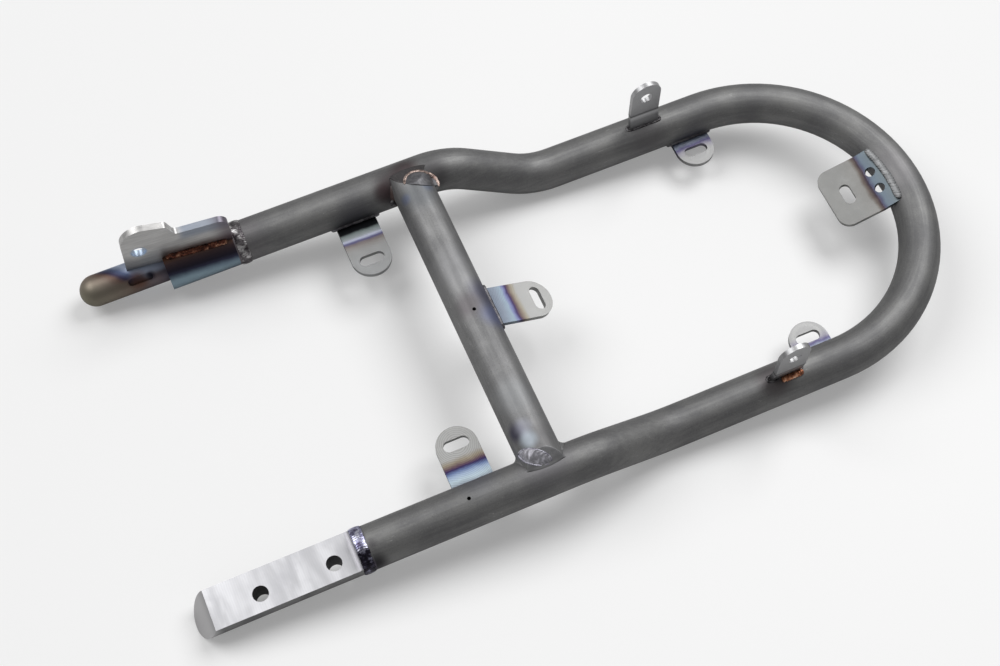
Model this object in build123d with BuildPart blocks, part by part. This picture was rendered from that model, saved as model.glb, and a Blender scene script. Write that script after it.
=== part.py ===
from build123d import *
import os
from math import asin, cos, degrees, radians, sin, sqrt, tan

# Motorcycle rear subframe, in millimetres.
# X runs rearwards from the front ends of the tube, Y to the right rail, Z up.
# Z = 0 is the axis height of the two front rails and Y = 0 the middle plane.

# Tube stock
tube_diameter = 25.4
tube_wall = 2.0
tube_radius = tube_diameter / 2
bore_radius = tube_radius - tube_wall
vent_diameter = 2.2

# Route of the one bent tube
front_half_spacing = 103.8
rear_half_spacing = 95.25
rear_drop = 32.8
first_bend_x = 130.5
second_bend_x = 185.6
bend_radius = 52.0
hoop_centre_x = 302.8
left_vent_x = 59.3

# Cross tube
cross_tube_x = 105.8
cross_tube_z = 6.3
cross_vent_y = -2.0
cross_lip_left = 9.7
cross_lip_right = 14.0
cross_lip_foot = 1.5

# End slugs
spigot_length = 20.0
spigot_clearance = 0.05
left_slug_length = 100.9
left_slug_slant = 30.4
slug_flat_z = 4.2
slug_flat_end_x = -5.4
slug_flat_runout = 5.0
slug_hole_diameter = 9.0
slug_hole_spacing = 42.0
slug_rear_hole_x = -20.6
slug_hole_offset = 2.2
right_pin_diameter = 19.0
right_pin_radius = right_pin_diameter / 2
right_pin_inset = 0.1
right_pin_offset = tube_radius - right_pin_radius - right_pin_inset
right_slug_length = 99.3
right_collar_length = 5.5
pocket_x = -63.3
pocket_length = 15.0
pocket_width = 4.5
pocket_depth = 2.5
pocket_tilt = 49.0

# Saddle and mount tab on the right slug
saddle_length = 42.0
saddle_turn = 60.0
mount_tab_thickness = 4.0
mount_tab_front_x = -69.3
mount_tab_offset = 2.6
mount_tab_front_y = front_half_spacing + mount_tab_offset
mount_tab_yaw = 5.36
mount_tab_length = 64.5
mount_tab_foot_z = 5.0
mount_tab_peak_z = 50.4
mount_tab_nose_lean = 3.5
mount_tab_nose_radius = 13.0
mount_tab_bump_end = 30.6
mount_tab_bump_z = 44.2
mount_tab_step_end = 33.7
mount_tab_rear_z = 34.8
mount_tab_rear_radius = 6.0
mount_tab_corner_radius = 3.0
mount_hole_diameter = 8.4
mount_hole_along = 11.0
mount_hole_z = 26.2

# Slotted tabs
tab_thickness = 3.0
tab_width = 24.8
slot_length = 15.5
slot_width = 6.8
front_tab_x = 67.5
front_tab_height = -5.3
front_tab_reach = 49.6
front_slot_reach = 38.9
cross_tab_slope = 22.5
cross_tab_height = 7.6
cross_tab_reach = 50.5
cross_slot_reach = 41.0
rear_left_tab_x = 294.2
rear_right_tab_x = 292.0
rear_tab_height = -5.5
rear_tab_reach = 32.3
rear_slot_reach = 21.8

# Upright tabs on the rear legs
upright_x = 263.2
upright_width = 19.5
upright_offset = 1.85
upright_top_z = 19.7
upright_crease_z = -7.5
upright_lean = 9.0
upright_hole_diameter = 8.2
upright_hole_z = 7.0

# Stepped bracket inside the hoop
bracket_width = 41.0
bracket_y = 3.1
bracket_edge_turn = 38.6
bracket_lap = 2.5
flange_slope = 23.3
flange_length = 14.2
shelf_slope = 13.7
shelf_length = 28.2
bracket_corner_radius = 8.0
bracket_hole_diameter = 6.4
bracket_hole_spacing = 12.5
bracket_hole_reach = 10.2
bracket_slot_length = 14.0
bracket_slot_width = 7.0
bracket_slot_reach = 15.2
bracket_hole_y = 2.8

# Weld beads
tab_bead_leg = 2.4
mount_bead_leg = 3.2
bracket_bead_leg = 2.6
bracket_bead_rise = 1.3
girth_bead_width = 6.4
girth_bead_height = 0.8
girth_bead_x = -1.4
cross_bead_leg = 2.6
cross_plug = 1.4


# Route of the tube: both rails step down and in, and meet in a half circle
with BuildPart() as hoop_core:
    with BuildLine() as hoop_path:
        FilletPolyline(
            (0, -front_half_spacing, 0),
            (first_bend_x, -front_half_spacing, 0),
            (second_bend_x, -rear_half_spacing, -rear_drop),
            (hoop_centre_x, -rear_half_spacing, -rear_drop),
            radius=bend_radius,
        )
        ThreePointArc(
            (hoop_centre_x, -rear_half_spacing, -rear_drop),
            (hoop_centre_x + rear_half_spacing, 0, -rear_drop),
            (hoop_centre_x, rear_half_spacing, -rear_drop),
        )
        FilletPolyline(
            (hoop_centre_x, rear_half_spacing, -rear_drop),
            (second_bend_x, rear_half_spacing, -rear_drop),
            (first_bend_x, front_half_spacing, 0),
            (0, front_half_spacing, 0),
            radius=bend_radius,
        )
    with BuildSketch(Plane(origin=(0, -front_half_spacing, 0), z_dir=(1, 0, 0))):
        Circle(tube_radius)
    sweep(path=hoop_path.line)

with BuildPart() as hoop_tube:
    add(hoop_core.part)
    with BuildSketch(Plane(origin=(0, -front_half_spacing, 0), z_dir=(1, 0, 0))):
        Circle(bore_radius)
    sweep(path=hoop_path.line, mode=Mode.SUBTRACT)
    with BuildSketch(Plane.XY):
        with Locations((left_vent_x, -front_half_spacing)):
            Circle(vent_diameter / 2)
    extrude(amount=tube_diameter, mode=Mode.SUBTRACT)


# Cross tube, coped onto the two rails a little above their axis
with BuildPart() as cross_core:
    with BuildSketch(Plane.XZ):
        with Locations((cross_tube_x, cross_tube_z)):
            Circle(tube_radius)
    extrude(amount=front_half_spacing, both=True)


# Slanted plane that trims the lip of a cross tube's end, from its crown down to the rail's crest
def lip_plane(side, setback):
    rise = cross_tube_z
    run = setback - cross_lip_foot
    length = sqrt(rise**2 + run**2)
    return Plane(
        origin=(cross_tube_x, side * (front_half_spacing - cross_lip_foot), tube_radius),
        x_dir=(1, 0, 0),
        z_dir=(0, side * rise / length, run / length),
    )


left_lip_plane = lip_plane(-1, cross_lip_left)
right_lip_plane = lip_plane(1, cross_lip_right)
with BuildPart() as cross_tube:
    add(cross_core.part)
    with BuildSketch(Plane.XZ):
        with Locations((cross_tube_x, cross_tube_z)):
            Circle(bore_radius)
    extrude(amount=front_half_spacing, both=True, mode=Mode.SUBTRACT)
    add(hoop_core.part, mode=Mode.SUBTRACT)
    with BuildSketch(left_lip_plane, right_lip_plane):
        Rectangle(2 * tube_diameter, 2 * tube_diameter)
    extrude(amount=tube_diameter, mode=Mode.SUBTRACT)
    with BuildSketch(Plane.XY.offset(cross_tube_z)):
        with Locations((cross_tube_x, cross_vent_y)):
            Circle(vent_diameter / 2)
    extrude(amount=tube_diameter, mode=Mode.SUBTRACT)


# Left slug: a bar with a milled flat, two bolt holes, a slanted end and a spigot in the tube
with BuildPart() as left_mount_slug:
    with BuildSketch(Plane(origin=(0, -front_half_spacing, 0), z_dir=(-1, 0, 0))):
        Circle(tube_radius)
    extrude(amount=left_slug_length)
    with BuildSketch(Plane.XZ.offset(front_half_spacing)):
        with BuildLine():
            runout_centre_x = slug_flat_end_x - slug_flat_runout
            runout_centre_z = slug_flat_z + slug_flat_runout
            CenterArc((runout_centre_x, runout_centre_z), slug_flat_runout, -90, 90)
            Polyline(
                (slug_flat_end_x, runout_centre_z),
                (slug_flat_end_x, tube_diameter),
                (-2 * left_slug_length, tube_diameter),
                (-2 * left_slug_length, slug_flat_z),
                (runout_centre_x, slug_flat_z),
            )
        make_face()
    extrude(amount=tube_diameter, both=True, mode=Mode.SUBTRACT)
    split(
        bisect_by=Plane(
            origin=(-left_slug_length, -front_half_spacing, -tube_radius),
            x_dir=(0, 1, 0),
            z_dir=(cos(radians(left_slug_slant)), 0, -sin(radians(left_slug_slant))),
        ),
        keep=Keep.TOP,
    )
    with BuildSketch(Plane(origin=(0, -front_half_spacing, 0), z_dir=(1, 0, 0))):
        Circle(bore_radius - spigot_clearance)
    extrude(amount=spigot_length)
    hole_y = -front_half_spacing - slug_hole_offset
    with Locations(
        (slug_rear_hole_x, hole_y, slug_flat_z),
        (slug_rear_hole_x - slug_hole_spacing, hole_y, slug_flat_z),
    ):
        Hole(slug_hole_diameter / 2)


# Right slug: a round pin set outboard, with a ball nose, a pocket, a collar and a spigot
pin_y = front_half_spacing + right_pin_offset
nose_x = right_pin_radius - right_slug_length
with BuildPart() as right_pin_core:
    with BuildSketch(Plane(origin=(0, pin_y, 0), z_dir=(-1, 0, 0))):
        Circle(right_pin_radius)
    extrude(amount=-nose_x)
    with Locations((nose_x, pin_y, 0)):
        Sphere(right_pin_radius)

with BuildPart() as right_mount_slug:
    add(right_pin_core.part)
    with BuildSketch(Plane(origin=(0, front_half_spacing, 0), z_dir=(-1, 0, 0))):
        Circle(tube_radius)
    extrude(amount=right_collar_length)
    with BuildSketch(Plane(origin=(0, front_half_spacing, 0), z_dir=(1, 0, 0))):
        Circle(bore_radius - spigot_clearance)
    extrude(amount=spigot_length)
    pocket_plane = Plane(
        origin=(pocket_x, pin_y, 0),
        x_dir=(1, 0, 0),
        z_dir=(0, -sin(radians(pocket_tilt)), cos(radians(pocket_tilt))),
    )
    with BuildSketch(pocket_plane.offset(right_pin_radius - pocket_depth)):
        SlotOverall(pocket_length, pocket_width)
    extrude(amount=right_pin_diameter, mode=Mode.SUBTRACT)


# Half sleeve on the right pin that brings it out to the tube's diameter
saddle_front_x = -right_collar_length - saddle_length
with BuildPart() as right_saddle:
    saddle_plane = Plane(origin=(saddle_front_x, front_half_spacing, 0), x_dir=(0, 1, 0), z_dir=(1, 0, 0))
    with BuildSketch(saddle_plane):
        Circle(tube_radius)
        Rectangle(
            2 * tube_diameter,
            tube_diameter,
            rotation=saddle_turn,
            align=(Align.CENTER, Align.MIN),
            mode=Mode.INTERSECT,
        )
        with Locations((right_pin_offset, 0)):
            Circle(right_pin_radius, mode=Mode.SUBTRACT)
    extrude(amount=saddle_length)


# Tall plate tab on the right slug, turned a little inwards towards the rear
yaw_cos = cos(radians(mount_tab_yaw))
yaw_sin = sin(radians(mount_tab_yaw))
mount_tab_plane = Plane(
    origin=(mount_tab_front_x, mount_tab_front_y, 0),
    x_dir=(yaw_cos, -yaw_sin, 0),
    z_dir=(-yaw_sin, -yaw_cos, 0),
)
with BuildPart() as right_mount_tab:
    with BuildSketch(mount_tab_plane) as mount_tab_outline:
        with BuildLine():
            Polyline(
                (0, mount_tab_foot_z),
                (mount_tab_nose_lean, mount_tab_peak_z),
                (mount_tab_bump_end, mount_tab_bump_z),
                (mount_tab_step_end, mount_tab_rear_z),
                (mount_tab_length, mount_tab_rear_z),
                (mount_tab_length, mount_tab_foot_z),
                close=True,
            )
        make_face()
        corners = mount_tab_outline.vertices()
        bump_corner = corners.sort_by_distance((mount_tab_bump_end, mount_tab_bump_z))[0]
        step_corner = corners.sort_by_distance((mount_tab_step_end, mount_tab_rear_z))[0]
        fillet([bump_corner, step_corner], mount_tab_corner_radius)
        fillet(mount_tab_outline.vertices().sort_by(Axis.Y)[-1:], mount_tab_nose_radius)
        fillet(mount_tab_outline.vertices().group_by(Axis.X)[-1].sort_by(Axis.Y)[-1:], mount_tab_rear_radius)
        with Locations((mount_hole_along, mount_hole_z)):
            Circle(mount_hole_diameter / 2, mode=Mode.SUBTRACT)
    extrude(amount=-mount_tab_thickness)
    add(right_pin_core.part, mode=Mode.SUBTRACT)
    with BuildSketch(saddle_plane):
        Circle(tube_radius)
    extrude(amount=-saddle_front_x, mode=Mode.SUBTRACT)


# Slotted tab with a full-round end; its plane's x runs from over the tube's axis to the tip
def slotted_tab(tab_plane, height, reach, slot_reach, core):
    root = sqrt(tube_radius**2 - height**2) - tab_thickness
    straight = reach - tab_width / 2
    with BuildPart() as tab:
        with BuildSketch(tab_plane):
            with Locations(((root + straight) / 2, 0)):
                Rectangle(straight - root, tab_width)
            with Locations((straight, 0)):
                Circle(tab_width / 2)
            with Locations((slot_reach, 0)):
                SlotOverall(slot_length, slot_width, rotation=90, mode=Mode.SUBTRACT)
        extrude(amount=-tab_thickness)
        add(core, mode=Mode.SUBTRACT)
    return tab


# Fillet bead all round the root of a slotted tab: a collar that tapers from the tube onto the tab
def slotted_tab_weld(tab_plane, height, tab, core):
    above = sqrt(tube_radius**2 - height**2)
    below = sqrt(tube_radius**2 - (height - tab_thickness) ** 2)
    start = min(above, below) - 1
    run = max(above, below) + tab_bead_leg - start
    root_plane = Plane(
        origin=tab_plane.from_local_coords((start, 0, -tab_thickness / 2)),
        x_dir=tab_plane.y_dir,
        z_dir=tab_plane.x_dir,
    )
    with BuildPart() as weld:
        with BuildSketch(root_plane):
            Rectangle(tab_width + 2 * run, tab_thickness + 2 * run)
        extrude(amount=run, taper=45)
        add(core, mode=Mode.SUBTRACT)
        add(tab.part, mode=Mode.SUBTRACT)
    return weld


# Plane of a tab's top face on the left (-1) or right (+1) side of the bent tube
def side_plane(x, side, half_spacing, z):
    return Plane(origin=(x, side * half_spacing, z), x_dir=(0, -side, 0), z_dir=(0, 0, 1))


front_left_plane = side_plane(front_tab_x, -1, front_half_spacing, front_tab_height)
front_right_plane = side_plane(front_tab_x, 1, front_half_spacing, front_tab_height)
front_left_tab = slotted_tab(
    front_left_plane, front_tab_height, front_tab_reach, front_slot_reach, hoop_core.part
)
front_right_tab = slotted_tab(
    front_right_plane, front_tab_height, front_tab_reach, front_slot_reach, hoop_core.part
)
front_left_tab_weld = slotted_tab_weld(front_left_plane, front_tab_height, front_left_tab, hoop_core.part)
front_right_tab_weld = slotted_tab_weld(front_right_plane, front_tab_height, front_right_tab, hoop_core.part)

rear_tab_z = rear_tab_height - rear_drop
rear_left_plane = side_plane(rear_left_tab_x, -1, rear_half_spacing, rear_tab_z)
rear_right_plane = side_plane(rear_right_tab_x, 1, rear_half_spacing, rear_tab_z)
rear_left_tab = slotted_tab(
    rear_left_plane, rear_tab_height, rear_tab_reach, rear_slot_reach, hoop_core.part
)
rear_right_tab = slotted_tab(
    rear_right_plane, rear_tab_height, rear_tab_reach, rear_slot_reach, hoop_core.part
)
rear_left_tab_weld = slotted_tab_weld(rear_left_plane, rear_tab_height, rear_left_tab, hoop_core.part)
rear_right_tab_weld = slotted_tab_weld(rear_right_plane, rear_tab_height, rear_right_tab, hoop_core.part)

slope_cos = cos(radians(cross_tab_slope))
slope_sin = sin(radians(cross_tab_slope))
cross_tab_plane = Plane(
    origin=(cross_tube_x + cross_tab_height * slope_sin, 0, cross_tube_z + cross_tab_height * slope_cos),
    x_dir=(slope_cos, 0, -slope_sin),
    z_dir=(slope_sin, 0, slope_cos),
)
cross_tab = slotted_tab(cross_tab_plane, cross_tab_height, cross_tab_reach, cross_slot_reach, cross_core.part)
cross_tab_weld = slotted_tab_weld(cross_tab_plane, cross_tab_height, cross_tab, cross_core.part)


# Upright tab: a plate with a round top and one hole, kinked so that its foot stands on the tube
def upright_tab(side):
    inner_y = rear_half_spacing + upright_offset - tab_thickness / 2
    outer_y = inner_y + tab_thickness
    foot_z = -rear_drop
    foot_shift = (upright_crease_z - foot_z) * tan(radians(upright_lean))
    mitre = tab_thickness * tan(radians(upright_lean / 2))
    with BuildPart() as tab:
        with BuildSketch(Plane.YZ.offset(upright_x)):
            with BuildLine():
                Polyline(
                    (side * inner_y, upright_top_z),
                    (side * inner_y, upright_crease_z),
                    (side * (inner_y - foot_shift), foot_z),
                    (side * (outer_y - foot_shift), foot_z - mitre),
                    (side * outer_y, upright_crease_z - mitre),
                    (side * outer_y, upright_top_z),
                    close=True,
                )
            make_face()
        extrude(amount=upright_width / 2, both=True)
        with BuildSketch(Plane.XZ):
            with Locations((upright_x, (upright_top_z - upright_width / 2 - 2 * rear_drop) / 2)):
                Rectangle(upright_width, upright_top_z - upright_width / 2 + 2 * rear_drop)
            with Locations((upright_x, upright_top_z - upright_width / 2)):
                Circle(upright_width / 2)
            with Locations((upright_x, upright_hole_z)):
                Circle(upright_hole_diameter / 2, mode=Mode.SUBTRACT)
        extrude(amount=2 * rear_half_spacing, both=True, mode=Mode.INTERSECT)
        add(hoop_core.part, mode=Mode.SUBTRACT)
    return tab


# Fillet bead round an upright tab's foot on the tube's crown
def upright_tab_weld(side, tab):
    crest_z = tube_radius - rear_drop
    foot_shift = (upright_crease_z - crest_z) * tan(radians(upright_lean))
    foot_y = rear_half_spacing + upright_offset - foot_shift
    run = tab_bead_leg + 1
    with BuildPart() as weld:
        with BuildSketch(Plane.XY.offset(crest_z - 1)):
            with Locations((upright_x, side * foot_y)):
                Rectangle(upright_width + 2 * run, tab_thickness + 2 * run)
        extrude(amount=run, taper=45)
        add(hoop_core.part, mode=Mode.SUBTRACT)
        add(tab.part, mode=Mode.SUBTRACT)
    return weld


left_upright_tab = upright_tab(-1)
right_upright_tab = upright_tab(1)
left_upright_weld = upright_tab_weld(-1, left_upright_tab)
right_upright_weld = upright_tab_weld(1, right_upright_tab)


# Bracket inside the hoop: a flange that leaves the tube and a shelf past a shallow fold
hoop_apex_x = hoop_centre_x + rear_half_spacing
edge_x = hoop_apex_x - tube_radius * sin(radians(bracket_edge_turn))
edge_z = tube_radius * cos(radians(bracket_edge_turn)) - rear_drop
flange_plane = Plane(
    origin=(edge_x, bracket_y, edge_z),
    x_dir=(-cos(radians(flange_slope)), 0, -sin(radians(flange_slope))),
    z_dir=(-sin(radians(flange_slope)), 0, cos(radians(flange_slope))),
)
fold = flange_plane.from_local_coords((flange_length, 0, 0))
shelf_plane = Plane(
    origin=fold,
    x_dir=(-cos(radians(shelf_slope)), 0, -sin(radians(shelf_slope))),
    z_dir=(-sin(radians(shelf_slope)), 0, cos(radians(shelf_slope))),
)


# Point of a side profile, as X and Z, from its place on a sloping plane
def profile_point(plane, along, depth):
    point = plane.from_local_coords((along, 0, depth))
    return (point.X, point.Z)


with BuildPart() as hoop_bracket:
    mitre = tab_thickness * tan(radians((flange_slope - shelf_slope) / 2))
    with BuildSketch(Plane.XZ.offset(-bracket_y)):
        with BuildLine():
            Polyline(
                profile_point(flange_plane, -bracket_lap, 0),
                profile_point(flange_plane, flange_length, 0),
                profile_point(shelf_plane, shelf_length, 0),
                profile_point(shelf_plane, shelf_length, -tab_thickness),
                profile_point(shelf_plane, -mitre, -tab_thickness),
                profile_point(flange_plane, -bracket_lap, -tab_thickness),
                close=True,
            )
        make_face()
    extrude(amount=bracket_width / 2, both=True)
    fillet(hoop_bracket.faces().sort_by(Axis.X)[0].edges().sort_by(Axis.Y)[0], bracket_corner_radius)
    fillet(hoop_bracket.faces().sort_by(Axis.X)[0].edges().sort_by(Axis.Y)[-1], bracket_corner_radius)
    hole_shift = bracket_hole_y - bracket_y
    with BuildSketch(flange_plane):
        with Locations((bracket_hole_reach, -hole_shift)):
            with GridLocations(0, bracket_hole_spacing, 1, 2):
                Circle(bracket_hole_diameter / 2)
    extrude(amount=tab_thickness * 2, both=True, mode=Mode.SUBTRACT)
    with BuildSketch(shelf_plane):
        with Locations((bracket_slot_reach, -hole_shift)):
            SlotOverall(bracket_slot_length, bracket_slot_width, rotation=90)
    extrude(amount=tab_thickness * 2, both=True, mode=Mode.SUBTRACT)
    add(hoop_core.part, mode=Mode.SUBTRACT)

# Bead over the bracket's outer edge, turned about the hoop's centre
seam_radius = edge_x - hoop_centre_x
seam_start = -asin((bracket_width / 2 - bracket_y) / seam_radius)
seam_turn = asin((bracket_width / 2 + bracket_y) / seam_radius) - seam_start
with BuildPart() as hoop_bracket_weld:
    seam_plane = Plane(
        origin=(hoop_centre_x, 0, edge_z),
        x_dir=(cos(seam_start), sin(seam_start), 0),
        z_dir=(sin(seam_start), -cos(seam_start), 0),
    )
    with BuildSketch(seam_plane):
        with BuildLine():
            Polyline(
                (seam_radius - bracket_bead_leg, -bracket_bead_leg),
                (seam_radius - bracket_bead_leg, -bracket_bead_leg * tan(radians(flange_slope))),
                (seam_radius - bracket_bead_leg / 2, bracket_bead_rise / 2),
                (seam_radius + bracket_bead_leg / 2, bracket_bead_rise + bracket_bead_leg / 4),
                (seam_radius + bracket_bead_leg, bracket_bead_leg * tan(radians(bracket_edge_turn))),
                (seam_radius + bracket_bead_leg, -bracket_bead_leg),
                close=True,
            )
        make_face()
    revolve(axis=Axis((hoop_centre_x, 0, 0), (0, 0, 1)), revolution_arc=degrees(seam_turn))
    add(hoop_core.part, mode=Mode.SUBTRACT)
    with BuildSketch(flange_plane):
        Rectangle(2 * flange_length, 2 * bracket_width)
    extrude(amount=-2 * tab_thickness, mode=Mode.SUBTRACT)


# Girth bead over the seam between a slug and the tube
def girth_weld(y):
    with BuildPart() as weld:
        with BuildSketch(Plane.XZ.offset(-y)):
            with BuildLine():
                Polyline(
                    (girth_bead_x - girth_bead_width / 2, tube_radius),
                    (girth_bead_x - girth_bead_width / 4, tube_radius + girth_bead_height),
                    (girth_bead_x + girth_bead_width / 4, tube_radius + girth_bead_height),
                    (girth_bead_x + girth_bead_width / 2, tube_radius),
                    close=True,
                )
            make_face()
        revolve(axis=Axis((0, y, 0), (1, 0, 0)))
    return weld


left_slug_weld = girth_weld(-front_half_spacing)
right_slug_weld = girth_weld(front_half_spacing)


# Bead round a coped end of the cross tube, with a flat plug over its slanted lip
def cross_weld(side, end_plane):
    with BuildPart() as trimmed_core:
        add(cross_core.part)
        split(bisect_by=end_plane, keep=Keep.BOTTOM)
    with BuildPart() as plug:
        with BuildSketch(end_plane):
            Rectangle(2 * tube_diameter, 2 * tube_diameter)
        extrude(amount=cross_plug)
        add(cross_core.part, mode=Mode.INTERSECT)
    with BuildPart() as weld:
        with BuildSketch(Plane.YZ.offset(cross_tube_x)):
            with Locations((side * front_half_spacing, 0)):
                Circle(tube_radius + cross_bead_leg)
        extrude(amount=tube_diameter, both=True)
        with BuildSketch(Plane.XZ):
            with Locations((cross_tube_x, cross_tube_z)):
                Circle(tube_radius + cross_bead_leg)
        extrude(amount=-side * front_half_spacing, mode=Mode.INTERSECT)
        add(plug.part)
        split(bisect_by=end_plane.offset(cross_plug), keep=Keep.BOTTOM)
        add(hoop_core.part, mode=Mode.SUBTRACT)
        add(trimmed_core.part, mode=Mode.SUBTRACT)
    return weld


cross_left_weld = cross_weld(-1, left_lip_plane)
cross_right_weld = cross_weld(1, right_lip_plane)


# Fillet bead along the inboard foot of the tall tab, on the saddle's crown
with BuildPart() as right_mount_tab_weld:
    run_start = (saddle_front_x - mount_tab_front_x) / yaw_cos
    run_end = (-right_collar_length - mount_tab_front_x) / yaw_cos
    foot = mount_tab_plane.from_local_coords((run_start, 0, 0))
    bead_plane = Plane(
        origin=(foot.X, foot.Y, tube_radius),
        x_dir=mount_tab_plane.z_dir,
        z_dir=mount_tab_plane.x_dir,
    )
    with BuildSketch(bead_plane):
        with BuildLine():
            Polyline(
                (0, -mount_bead_leg),
                (mount_bead_leg / 2, -mount_bead_leg / 2),
                (mount_bead_leg, mount_bead_leg / 2),
                (0, mount_bead_leg / 2),
                close=True,
            )
        make_face()
    extrude(amount=run_end - run_start)
    with BuildSketch(saddle_plane):
        Circle(tube_radius)
    extrude(amount=-saddle_front_x, mode=Mode.SUBTRACT)


pieces = {
    "hoop_tube": hoop_tube,
    "cross_tube": cross_tube,
    "left_mount_slug": left_mount_slug,
    "right_mount_slug": right_mount_slug,
    "right_saddle": right_saddle,
    "right_mount_tab": right_mount_tab,
    "front_left_tab": front_left_tab,
    "front_right_tab": front_right_tab,
    "cross_tab": cross_tab,
    "left_upright_tab": left_upright_tab,
    "right_upright_tab": right_upright_tab,
    "rear_left_tab": rear_left_tab,
    "rear_right_tab": rear_right_tab,
    "hoop_bracket": hoop_bracket,
    "left_slug_weld": left_slug_weld,
    "right_slug_weld": right_slug_weld,
    "cross_left_weld": cross_left_weld,
    "cross_right_weld": cross_right_weld,
    "right_mount_tab_weld": right_mount_tab_weld,
    "front_left_tab_weld": front_left_tab_weld,
    "front_right_tab_weld": front_right_tab_weld,
    "cross_tab_weld": cross_tab_weld,
    "left_upright_weld": left_upright_weld,
    "right_upright_weld": right_upright_weld,
    "rear_left_tab_weld": rear_left_tab_weld,
    "rear_right_tab_weld": rear_right_tab_weld,
    "hoop_bracket_weld": hoop_bracket_weld,
}
os.makedirs("parts", exist_ok=True)
for name, piece in pieces.items():
    piece.part.label = name
    export_step(piece.part, f"parts/{name}.step")
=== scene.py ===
import math

import bpy
import numpy as np
from mathutils import Matrix, Vector


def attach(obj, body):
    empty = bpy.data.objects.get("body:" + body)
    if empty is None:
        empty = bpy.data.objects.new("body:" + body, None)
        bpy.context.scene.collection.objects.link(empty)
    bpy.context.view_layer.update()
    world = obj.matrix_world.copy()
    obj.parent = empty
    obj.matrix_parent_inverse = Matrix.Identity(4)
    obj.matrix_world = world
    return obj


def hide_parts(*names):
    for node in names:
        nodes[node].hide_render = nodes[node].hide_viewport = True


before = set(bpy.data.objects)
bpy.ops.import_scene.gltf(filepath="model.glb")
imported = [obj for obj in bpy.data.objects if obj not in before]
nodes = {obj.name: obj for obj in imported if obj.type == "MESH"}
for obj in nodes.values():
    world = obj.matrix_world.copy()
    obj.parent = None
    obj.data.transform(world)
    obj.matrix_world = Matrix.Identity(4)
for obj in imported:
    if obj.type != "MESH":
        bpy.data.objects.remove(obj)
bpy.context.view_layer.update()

mm = 0.001

# the tubes in mm: half spacings of the rails, drop of the rear legs, centre of the hoop, axis of the cross tube
route = {"frontY": 103.8, "rearY": 95.25, "drop": 32.8, "hoopX": 302.8, "crossX": 105.8, "crossZ": 6.3,
         "tubeR": 12.7}


def tone(red, green, blue):
    # a colour as a screen shows it, 0 to 255, made linear
    values = np.array([red, green, blue]) / 255.0
    linear = np.where(values <= 0.04045, values / 12.92, ((values + 0.055) / 1.055) ** 2.4)
    return (float(linear[0]), float(linear[1]), float(linear[2]), 1.0)


# shader maths as plain expressions
class Wire:
    def __init__(self, paint, socket):
        self.paint, self.socket = paint, socket

    def __add__(self, other):
        return self.paint.math("ADD", self, other)

    def __sub__(self, other):
        return self.paint.math("SUBTRACT", self, other)

    def __rsub__(self, other):
        return self.paint.math("SUBTRACT", other, self)

    def __mul__(self, other):
        return self.paint.math("MULTIPLY", self, other)

    def __truediv__(self, other):
        return self.paint.math("DIVIDE", self, other)

    __radd__ = __add__
    __rmul__ = __mul__


class Paint:
    def __init__(self, name, metallic, specular=0.5):
        self.material = bpy.data.materials.new(name)
        self.material.use_nodes = True
        self.tree = self.material.node_tree
        self.tree.nodes.clear()
        sockets = {"Metallic": metallic, "Specular IOR Level": specular}
        self.shader = self.node("ShaderNodeBsdfPrincipled", {}, sockets)
        self.output = self.node("ShaderNodeOutputMaterial", {}, {0: Wire(self, self.shader.outputs[0])})
        place = self.node("ShaderNodeTexCoord", {}, {})
        self.place = Wire(self, place.outputs["Object"])
        parts = self.node("ShaderNodeSeparateXYZ", {}, {0: self.place})
        self.x, self.y, self.z = (Wire(self, parts.outputs[i]) / mm for i in range(3))

    # the one way in which a node is made: its type, its settings, then its sockets
    def node(self, kind, settings, sockets):
        made = self.tree.nodes.new(kind)
        for key, value in settings.items():
            if key == "stops":
                ramp = made.color_ramp
                while len(ramp.elements) < len(value):
                    ramp.elements.new(1.0)
                for element, (position, colour) in zip(ramp.elements, value):
                    element.position = position
                    element.color = colour
            else:
                setattr(made, key, value)
        for key, value in sockets.items():
            if isinstance(value, Wire):
                self.tree.links.new(value.socket, made.inputs[key])
            else:
                made.inputs[key].default_value = value
        return made

    def math(self, operation, first, second=0.0):
        made = self.node("ShaderNodeMath", {"operation": operation}, {0: first, 1: second})
        return Wire(self, made.outputs[0])

    def vector(self, x, y, z):
        return Wire(self, self.node("ShaderNodeCombineXYZ", {}, {0: x, 1: y, 2: z}).outputs[0])

    def noise(self, place, scale, detail=4.0, rough=0.55, warp=0.0):
        sockets = {"Vector": place, "Scale": scale, "Detail": detail, "Roughness": rough, "Distortion": warp}
        return Wire(self, self.node("ShaderNodeTexNoise", {}, sockets).outputs[0])

    def between(self, value, low, high):
        # 0 below low, 1 above high, smooth between
        sockets = {"Value": value, "From Min": low, "From Max": high}
        return Wire(self, self.node("ShaderNodeMapRange", {"interpolation_type": "SMOOTHSTEP"}, sockets).outputs[0])

    def mix(self, amount, first, second):
        sockets = {0: amount, 6: first, 7: second}
        return Wire(self, self.node("ShaderNodeMix", {"data_type": "RGBA"}, sockets).outputs[2])

    def ramp(self, value, stops):
        return Wire(self, self.node("ShaderNodeValToRGB", {"stops": stops}, {0: value}).outputs[0])

    def near(self, centre, reach):
        # 1 within a quarter of reach from a point, 0 from reach on, in mm
        point = self.vector(self.x, self.y, self.z)
        made = self.node("ShaderNodeVectorMath", {"operation": "DISTANCE"}, {0: point, 1: centre})
        return 1.0 - self.between(Wire(self, made.outputs["Value"]), reach * 0.25, reach)

    def finish(self, colour, roughness, height, depth):
        # depth is what the bump's full height stands for, in metres
        bump = self.node("ShaderNodeBump", {}, {"Height": height, "Strength": 1.0, "Distance": depth})
        links = {"Base Color": colour.socket, "Roughness": roughness.socket, "Normal": bump.outputs[0]}
        for key, socket in links.items():
            self.tree.links.new(socket, self.shader.inputs[key])
        return self.material


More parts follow.
